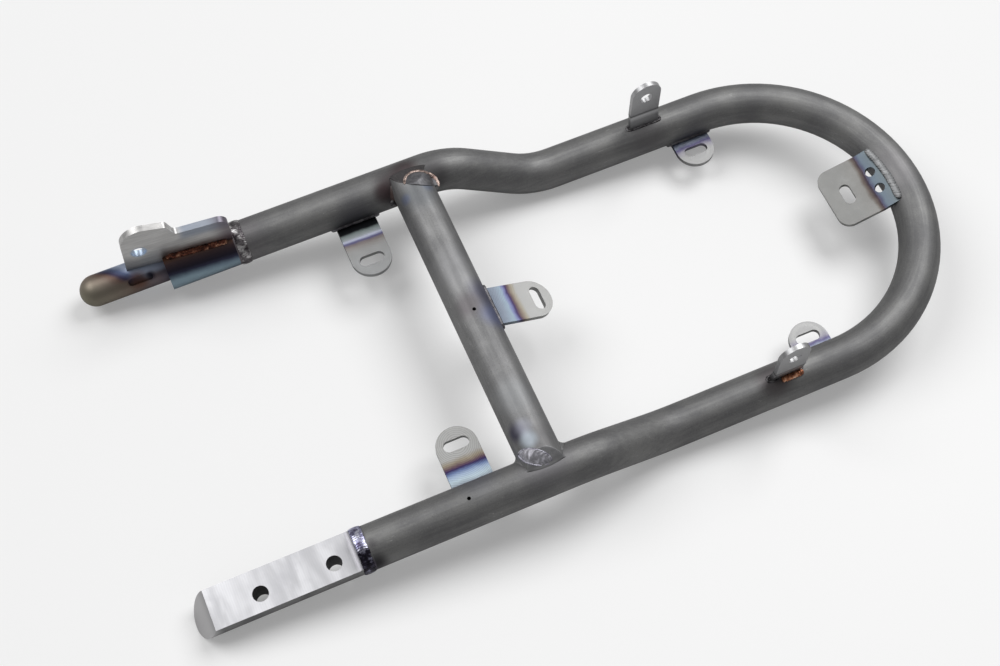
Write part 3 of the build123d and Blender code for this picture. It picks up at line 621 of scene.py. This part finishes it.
# each tab's x, its side, the y and z of its rail's axis, and the plate's top from that axis
rails = {
    "front_left_tab_weld": (67.5, -1, route["frontY"], 0.0, -5.3),
    "front_right_tab_weld": (67.5, 1, route["frontY"], 0.0, -5.3),
    "rear_left_tab_weld": (294.2, -1, route["rearY"], -route["drop"], -5.5),
    "rear_right_tab_weld": (292.0, 1, route["rearY"], -route["drop"], -5.5),
}
for number, (name, (x, side, railY, railZ, top)) in enumerate(rails.items()):
    upper, lower = (np.array([x, side * (railY - math.sqrt(tubeR**2 - height**2)), railZ + height])
                    for height in (top, top - tabBead["plate"]))
    grid = beadGrid(tabLoop(upper, lower, (1, 0, 0)), (0, -side, 0), tabBead["radius"], tabBead["radius"],
                    tabBead["pitch"], True, seeds["tab"] + number)
    makePiece("bead_" + name, grid, True, welds["greyWeld"], name)

crossTab = {"slope": math.radians(22.5), "top": 7.6, "radius": 1.4}
normal = np.array([math.sin(crossTab["slope"]), 0, math.cos(crossTab["slope"])])
along = np.array([math.cos(crossTab["slope"]), 0, -math.sin(crossTab["slope"])])
axis = np.array([route["crossX"], 0, route["crossZ"]])
upper, lower = (axis + normal * height + along * math.sqrt(tubeR**2 - height**2)
                for height in (crossTab["top"], crossTab["top"] - tabBead["plate"]))
grid = beadGrid(tabLoop(upper, lower, (0, 1, 0)), along, crossTab["radius"], crossTab["radius"], tabBead["pitch"],
                True, seeds["crossTab"])
makePiece("bead_cross_tab", grid, True, welds["greyWeld"], "cross_tab_weld")

# beads round the feet of the upright tabs, and a thick run outboard of each: copper on the left, along the rear
# half of the foot only, and bright on the right
footBead = {"x": 263.2, "y": 95.1, "half": 9.75, "plateHalf": 1.5, "height": 0.8, "radius": 1.1, "pitch": 1.5,
            "sink": 0.2, "runFrom": {-1: -3.5, 1: -7.0}, "runTo": 11.0, "runPoints": 90, "runY": 98.1,
            "runHeight": 2.1, "runSide": 2.2, "runPitch": 1.8, "runSink": 0.1}
crest = tubeR - route["drop"]
for side, name, paint in ((-1, "left_upright_weld", welds["copperWeld"]),
                          (1, "right_upright_weld", welds["silverWeld"])):
    foot = (footBead["x"], side * footBead["y"], crest - footBead["sink"])
    path = loopPath(foot, (1, 0, 0), (0, 1, 0), footBead["half"], footBead["plateHalf"])
    grid = beadGrid(path, (0, 0, 1), footBead["height"], footBead["radius"], footBead["pitch"], True,
                    seeds["foot"] + side)
    makePiece("bead_" + name, grid, True, welds["darkWeld"], name)
    runX = footBead["x"] + np.linspace(footBead["runFrom"][side], footBead["runTo"], footBead["runPoints"])
    drop = tubeR - math.sqrt(tubeR**2 - (footBead["runY"] - route["rearY"])**2)
    runZ = crest - drop - footBead["runSink"]
    run = np.stack([runX, np.full_like(runX, side * footBead["runY"]), np.full_like(runX, runZ)], axis=1)
    grid = beadGrid(run, (0, 0, 1), footBead["runHeight"], footBead["runSide"], footBead["runPitch"], False,
                    seeds["run"] + side)
    makePiece("run_" + name, grid, False, paint, name)

# ring beads where the slugs meet the tube
ringBead = {"x": {-1: -4.1, 1: -1.4}, "half": {-1: 3.5, 1: 3.3}, "height": 0.8, "pitch": 1.3, "flatZ": 4.25,
            "within": 0.05}
for side, name, paint in ((-1, "left_slug_weld", slugWeldPaint()), (1, "right_slug_weld", welds["silverWeld"])):
    turn = fullTurn()
    out = np.stack([np.zeros_like(turn), np.cos(turn), np.sin(turn)], axis=1)
    centre = np.array([ringBead["x"][side], side * route["frontY"], 0.0])
    grid = beadGrid(centre + out * tubeR, out, ringBead["height"], ringBead["half"][side], ringBead["pitch"], True,
                    seeds["ring"] + side)
    if side < 0:
        # the inner side of the ring goes down to the slug's flat, over the flat's run-out
        fromAxis = np.hypot(grid[..., 1] - centre[1], grid[..., 2])
        inner = (fromAxis < tubeR - ringBead["within"]) & (grid[..., 2] > ringBead["flatZ"])
        grid[..., 2] = np.where(inner, ringBead["flatZ"], grid[..., 2])
    makePiece("bead_" + name, grid, True, paint, name)

# bead along the tall tab's foot, thick and bronze coloured
tallBead = {"from": (-45.4, 104.16, 12.69), "to": (-8.3, 100.68, 12.30), "out": (0, -0.6, 0.8), "height": 2.6,
            "half": 2.4, "pitch": 2.0}
start, end = np.array(tallBead["from"]), np.array(tallBead["to"])
path = start + (end - start) * samples(np.linalg.norm(end - start), False)[:, None]
grid = beadGrid(path, tallBead["out"], tallBead["height"], tallBead["half"], tallBead["pitch"], False,
                seeds["tallTab"])
makePiece("bead_tall_tab", grid, False, welds["bronzeWeld"], "right_mount_tab_weld")

# bead over the hoop bracket's outer edge, following the hoop
seam = {"edgeX": 387.6, "y": 3.1, "half": 19.8, "z": -22.9, "out": (0.3, 0, 1), "rise": 1.5, "wide": 3.1,
        "pitch": 1.8}
reach = samples(2 * seam["half"], False) * 2 * seam["half"] - seam["half"] + seam["y"]
seamX = route["hoopX"] + np.sqrt((seam["edgeX"] - route["hoopX"])**2 - reach**2)
path = np.stack([seamX, reach, np.full_like(reach, seam["z"])], axis=1)
grid = beadGrid(path, seam["out"], seam["rise"], seam["wide"], seam["pitch"], False, seeds["bracket"])
makePiece("bead_hoop_bracket", grid, False, welds["paleWeld"], "hoop_bracket_weld")

# cross tube's ends, left -1 and right 1: a hollow fillet round the joint, a smooth cap over the slanted cut, a
# puddle with crescents on it, and the puddle's beaded rim
lip = {"run": {-1: 8.2, 1: 12.5}, "foot": 1.5, "crossClip": 12.5, "railClip": 12.6}
drapeLook = {"level": 15.0, "rounds": 14, "slant": {-1: (0.164, 0.355), 1: (0.186, 0.583)}}
filletLook = {"leg": 3.2, "rearLeg": 1.4, "topLeg": 0.2, "top": 11.0, "fadeFrom": 2.0, "fadeOver": 9.0,
              "wave": 0.04, "wavePitch": 2.3, "steps": 9}
capLook = {"rows": 60, "columns": 30, "half": 12.4, "behind": 0.7, "foot": 2.2, "rise": 0.55, "sink": 0.3,
           "frontPower": 6, "sidePower": 8, "blend": 1.0, "thick": 1.6}
puddleLook = {"middle": {-1: (101.5, -97.1), 1: (110.4, 89.0)}, "long": {-1: (7.6, -4.9), 1: (9.0, -4.8)},
              "short": {-1: (-1.6, -4.3), 1: (2.6, 8.7)}, "inner": {-1: 1.0, 1: 0.08}, "thick": {-1: 0.9, 1: 0.5},
              "ripple": {-1: 0.20, 1: 0.05}, "crescents": 24, "crescentsFrom": 1.2, "squeeze": 0.8, "dome": 0.6,
              "lift": 0.15, "depth": 2.5, "rows": 90, "columns": 80}
rimLook = {"height": {-1: 0.5, 1: 0.85}, "wide": 1.3, "pitch": 1.2, "lift": 0.1, "points": {-1: 260, 1: 200},
           "past": 0.1}
spotLook = {"turn": (0.45, 0.98), "points": 40, "height": 0.9, "half": 1.4}
dropLook = {"middle": (92.0, 90.9, 3.0), "radius": 2.2, "rows": 20, "columns": 32}


def outerZ(x, y, side):
    # height of the joint's outer surface: the cross tube, cut by its slanted lip, or the rail beside it
    dx = np.clip(x - route["crossX"], -lip["crossClip"], lip["crossClip"])
    dy = np.clip(np.abs(y) - route["frontY"], -lip["railClip"], lip["railClip"])
    overCross = route["crossZ"] + np.sqrt(tubeR**2 - dx**2)
    overLip = tubeR + (route["frontY"] - lip["foot"] - np.abs(y)) * route["crossZ"] / lip["run"][side]
    overRail = np.sqrt(tubeR**2 - dy**2)
    return np.maximum(np.minimum(overCross, overLip), overRail)


def drape(flat, side):
    # slides points at one level along a slant until they lie on the joint's outer surface
    level, slant = drapeLook["level"], drapeLook["slant"][side]
    z = np.full(flat.shape[:-1], level)
    for _ in range(drapeLook["rounds"]):
        x = flat[..., 0] + slant[0] * (level - z)
        y = flat[..., 1] + slant[1] * (level - z)
        z = 0.5 * z + 0.5 * outerZ(x, y, side)
    return np.stack([x, y, z], axis=-1)


def puddleEdge(turn, side):
    # points of the puddle's outline, at the level that drape starts from
    middle, long, short = (np.array(puddleLook[key][side]) for key in ("middle", "long", "short"))
    return middle + np.cos(turn)[:, None] * long + np.sin(turn)[:, None] * short


def ballAngles(rows, columns):
    # angles from just past one pole to just before the other, and all the way round
    downwards = np.linspace(0.01, np.pi - 0.01, rows)
    return np.meshgrid(downwards, np.linspace(0, 2 * np.pi, columns, endpoint=False), indexing="ij")


def filletGrid(side):
    # from the cross tube's side at a leg's length, over a hollow curve, to the rail's side
    turn = fullTurn()
    z = np.minimum(route["crossZ"] + tubeR * np.sin(turn), filletLook["top"])
    y = np.sqrt(np.maximum(tubeR**2 - z**2, 0.0))
    corner = np.stack([route["crossX"] + tubeR * np.cos(turn), side * (route["frontY"] - y), z], axis=1)
    wave = 1 + filletLook["wave"] * np.sin(2 * np.pi * turn * tubeR / filletLook["wavePitch"])
    # the legs shrink towards the top, where the lip takes over
    fade = np.clip((z - filletLook["fadeFrom"]) / filletLook["fadeOver"], 0, 1)
    fade = 1 - (1 - filletLook["topLeg"]) * fade
    leg = ((filletLook["leg"] + filletLook["rearLeg"] * np.maximum(np.cos(turn), 0)) * wave * fade)[:, None]
    onCross = corner - np.array([[0.0, side, 0.0]]) * leg
    railTurn = np.arcsin(np.clip(z / tubeR, -1, 1)) + np.sin(turn) * fade * filletLook["leg"] / tubeR
    railTurn = np.minimum(railTurn, np.pi / 2)
    railY = side * (route["frontY"] - tubeR * np.cos(railTurn))
    onRail = np.stack([corner[:, 0] + np.cos(turn) * leg[:, 0], railY, tubeR * np.sin(railTurn)], axis=1)
    bow = corner * 0.5 + (onCross + onRail) * 0.25
    t = np.linspace(0, 1, filletLook["steps"])[None, :, None]
    curve = (1 - t)**2 * onCross[:, None] + 2 * t * (1 - t) * bow[:, None] + t**2 * onRail[:, None]
    return np.concatenate([curve, corner[:, None]], axis=1)


def capGrid(side):
    # a smooth sheet over the whole cut of the cross tube, sunk into the metal at its borders
    half, run = capLook["half"], lip["run"][side]
    dx, s = np.meshgrid(np.linspace(-half, half, capLook["rows"]), np.linspace(0, 1, capLook["columns"]),
                        indexing="ij")
    footY = route["frontY"] - lip["foot"]
    overCross = route["crossZ"] + np.sqrt(tubeR**2 - dx**2)
    topY = footY - np.maximum(overCross - tubeR, 0.0) * run / route["crossZ"] - capLook["behind"]
    y = topY + (footY + capLook["foot"] * (1 - (dx / half)**2) - topY) * s
    swell = (1 - np.abs(2 * s - 1)**capLook["frontPower"]) * (1 - np.abs(dx / half)**capLook["sidePower"])
    rise = capLook["rise"] * swell - capLook["sink"]
    # a hollow curve instead of the sharp corner between lip and rail
    overLip = np.minimum(overCross, tubeR + (footY - y) * route["crossZ"] / run)
    overRail = np.sqrt(tubeR**2 - np.clip(y - route["frontY"], -lip["railClip"], lip["railClip"])**2)
    z = (overLip + overRail + np.sqrt((overLip - overRail)**2 + capLook["blend"]**2)) / 2
    top = np.stack([route["crossX"] + dx, side * y, z + rise], axis=-1)
    return np.concatenate([top, top[:, ::-1] - np.array([0.0, 0.0, capLook["thick"]])], axis=1)


def puddleGrid(side):
    # a flat lens of weld metal with crescent ripples spreading from one end
    middle, long, short = (np.array(puddleLook[key][side]) for key in ("middle", "long", "short"))
    u, v = ballAngles(puddleLook["rows"], puddleLook["columns"])
    a, c = np.cos(u), np.sin(u) * np.cos(v)
    reach = np.where(c < 0, c * puddleLook["inner"][side], c)
    lens = drape(middle + a[..., None] * long + reach[..., None] * short, side)
    swell = np.abs(np.sin(u) * np.sin(v))**puddleLook["dome"]
    ripples = np.sin(puddleLook["crescents"] * np.hypot(a - puddleLook["crescentsFrom"], c * puddleLook["squeeze"]))
    crescents = 1 + puddleLook["ripple"][side] * ripples * np.minimum(1, 2 - 2 * np.abs(c))
    top = swell * puddleLook["thick"][side] * crescents
    lens[..., 2] += puddleLook["lift"] + np.where(np.sin(v) > 0, top, -puddleLook["depth"] * swell)
    return lens


for side, name, cap in ((-1, "cross_left_weld", capNear), (1, "cross_right_weld", capFar)):
    where = "Near" if side < 0 else "Far"
    makePiece("fillet_" + name, filletGrid(side), True, filletSteel, name)
    makePiece("cap_" + name, capGrid(side), False, cap, name)
    # the near rim goes all the way round, the far one is an arch
    turn = np.linspace(0, 2 * np.pi, rimLook["points"][side], endpoint=False)
    if side > 0:
        turn = np.linspace(-rimLook["past"], np.pi + rimLook["past"], rimLook["points"][side])
    rimPath = drape(puddleEdge(turn, side), side)
    rimPath[:, 2] += rimLook["lift"]
    height = rimLook["height"][side]
    rim = beadGrid(rimPath, (0, 0, 1), height, height * rimLook["wide"], rimLook["pitch"], side < 0,
                   seeds["rim"] + side)
    makePiece("bead_" + name, puddleGrid(side), False, welds["puddle" + where], name)
    makePiece("rim_" + name, rim, side < 0, welds["rim" + where], name)

# a copper patch on the far arch, and a drop beside it
spotPath = drape(puddleEdge(np.linspace(*spotLook["turn"], spotLook["points"]), 1), 1)
spot = beadGrid(spotPath, (0, 0, 1), spotLook["height"], spotLook["half"], rimLook["pitch"], False, seeds["spot"])
makePiece("spot_cross_right", spot, False, welds["pinkWeld"], "cross_right_weld")
u, v = ballAngles(dropLook["rows"], dropLook["columns"])
ball = np.stack([np.cos(u), np.sin(u) * np.cos(v), np.sin(u) * np.sin(v)], axis=-1)
makePiece("drop_cross_right", ball * dropLook["radius"] + dropLook["middle"], False, welds["darkWeld"],
          "cross_right_weld")

print("beads")

# floor: the plane that the left slug's tip and both rear legs rest on, in mm, and its size and gap in metres
rest = {"tipX": -100.9, "tipZ": -12.7, "legX": 193.3, "legZ": -45.12, "size": 9.0, "gap": 0.0001}
fall = math.atan2(rest["legZ"] - rest["tipZ"], rest["legX"] - rest["tipX"])
corners = np.array([(-1, -1), (1, -1), (1, 1), (-1, 1)]) * rest["size"] / 2
floorZ = rest["tipZ"] * mm + (corners[:, 0] - rest["tipX"] * mm) * math.tan(fall) - rest["gap"]
floorMesh = bpy.data.meshes.new("floor")
floorMesh.from_pydata(np.column_stack([corners, floorZ]).tolist(), [], [(0, 1, 2, 3)])
floor = bpy.data.objects.new("floor", floorMesh)
bpy.context.scene.collection.objects.link(floor)
floorLook = {"near": tone(253, 253, 253), "far": tone(232, 232, 232), "side": tone(237, 237, 237),
             "awayX": 0.39, "awayY": 0.92, "fade": (-500.0, 450.0), "sideAt": (600.0, 300.0, -40.0),
             "sideReach": 560.0, "rough": 0.75, "specular": 0.2, "lift": tone(250, 250, 250), "amount": 0.25,
             "dull": tone(205, 205, 205)}
stagePaint = Paint("paleFloor", 0.0, floorLook["specular"])


def outputOf(node, key=0):
    return Wire(stagePaint, node.outputs[key])


# painted light and shade on the floor: paler towards the camera and a little darker below the lamps, against the
# lamps' fall-off
away = stagePaint.between(stagePaint.y * floorLook["awayY"] - stagePaint.x * floorLook["awayX"], *floorLook["fade"])
shade = stagePaint.mix(away, floorLook["near"], floorLook["far"])
below = stagePaint.near(floorLook["sideAt"], floorLook["sideReach"])
shade = stagePaint.mix(below, shade, floorLook["side"])
stagePaint.tree.links.new(shade.socket, stagePaint.shader.inputs["Base Color"])
stagePaint.shader.inputs["Roughness"].default_value = floorLook["rough"]
glow = stagePaint.node("ShaderNodeEmission", {}, {"Color": floorLook["lift"], "Strength": 1.0})
lit = stagePaint.node("ShaderNodeMixShader", {},
                      {0: floorLook["amount"], 1: outputOf(stagePaint.shader), 2: outputOf(glow)})
# the part itself is lit by a duller floor than the one that is seen
seen = stagePaint.node("ShaderNodeLightPath", {}, {})
dull = stagePaint.node("ShaderNodeBsdfDiffuse", {}, {"Color": floorLook["dull"]})
blend = stagePaint.node("ShaderNodeMixShader", {},
                        {0: outputOf(seen, "Is Camera Ray"), 1: outputOf(dull), 2: outputOf(lit)})
stagePaint.tree.links.new(blend.outputs[0], stagePaint.output.inputs[0])
floorMesh.materials.append(stagePaint.material)

# light: a pale room and two large soft lamps behind the part, left and right, each with place, size and power
studio = {"world": 0.22, "backdrop": 0.42, "middle": (0.15, 0.0, -0.03),
          "lamps": [((-0.85, 0.80, 1.75), 1.5, 22.9), ((1.45, 0.60, 1.65), 1.4, 30.6)]}
world = bpy.data.worlds.new("room")
bpy.context.scene.world = world
world.use_nodes = True
room = world.node_tree
lighting = room.nodes["Background"]
# what a low view sees behind the floor
backdrop = room.nodes.new("ShaderNodeBackground")
for background, strength in ((lighting, studio["world"]), (backdrop, studio["backdrop"])):
    background.inputs[0].default_value = (1, 1, 1, 1)
    background.inputs[1].default_value = strength
cameraRay = room.nodes.new("ShaderNodeLightPath")
either = room.nodes.new("ShaderNodeMixShader")
room.links.new(cameraRay.outputs["Is Camera Ray"], either.inputs[0])
room.links.new(lighting.outputs[0], either.inputs[1])
room.links.new(backdrop.outputs[0], either.inputs[2])
room.links.new(either.outputs[0], room.nodes["World Output"].inputs[0])
for number, (place, size, power) in enumerate(studio["lamps"]):
    lamp = bpy.data.lights.new(f"softLamp{number}", "AREA")
    lamp.shape = "DISK"
    lamp.size = size
    lamp.energy = power
    holder = bpy.data.objects.new(lamp.name, lamp)
    bpy.context.scene.collection.objects.link(holder)
    aim = Vector(place) - Vector(studio["middle"])
    holder.matrix_world = Matrix.Translation(place) @ aim.to_track_quat("Z", "Y").to_matrix().to_4x4()

# camera: where the photograph was taken from, its place in mm
shot = {"place": (-36.97, -372.71, 806.85), "lens": 55.67, "sensor": 36.0, "clipStart": 0.01,
        "right": (0.917323, -0.398137, -0.002434), "down": (-0.359288, -0.825146, -0.435943),
        "ahead": (0.171557, 0.400775, -0.899971)}
camera = bpy.data.objects.new("camera", bpy.data.cameras.new("camera"))
camera.data.lens = shot["lens"]
camera.data.sensor_width = shot["sensor"]
camera.data.clip_start = shot["clipStart"]
pose = np.eye(4)
pose[:3, :3] = np.column_stack([shot["right"], -np.array(shot["down"]), -np.array(shot["ahead"])])
pose[:3, 3] = np.array(shot["place"]) * mm
camera.matrix_world = Matrix(pose.tolist())
bpy.context.scene.collection.objects.link(camera)
bpy.context.scene.camera = camera
bpy.context.scene.view_settings.view_transform = "Standard"

print("stage")
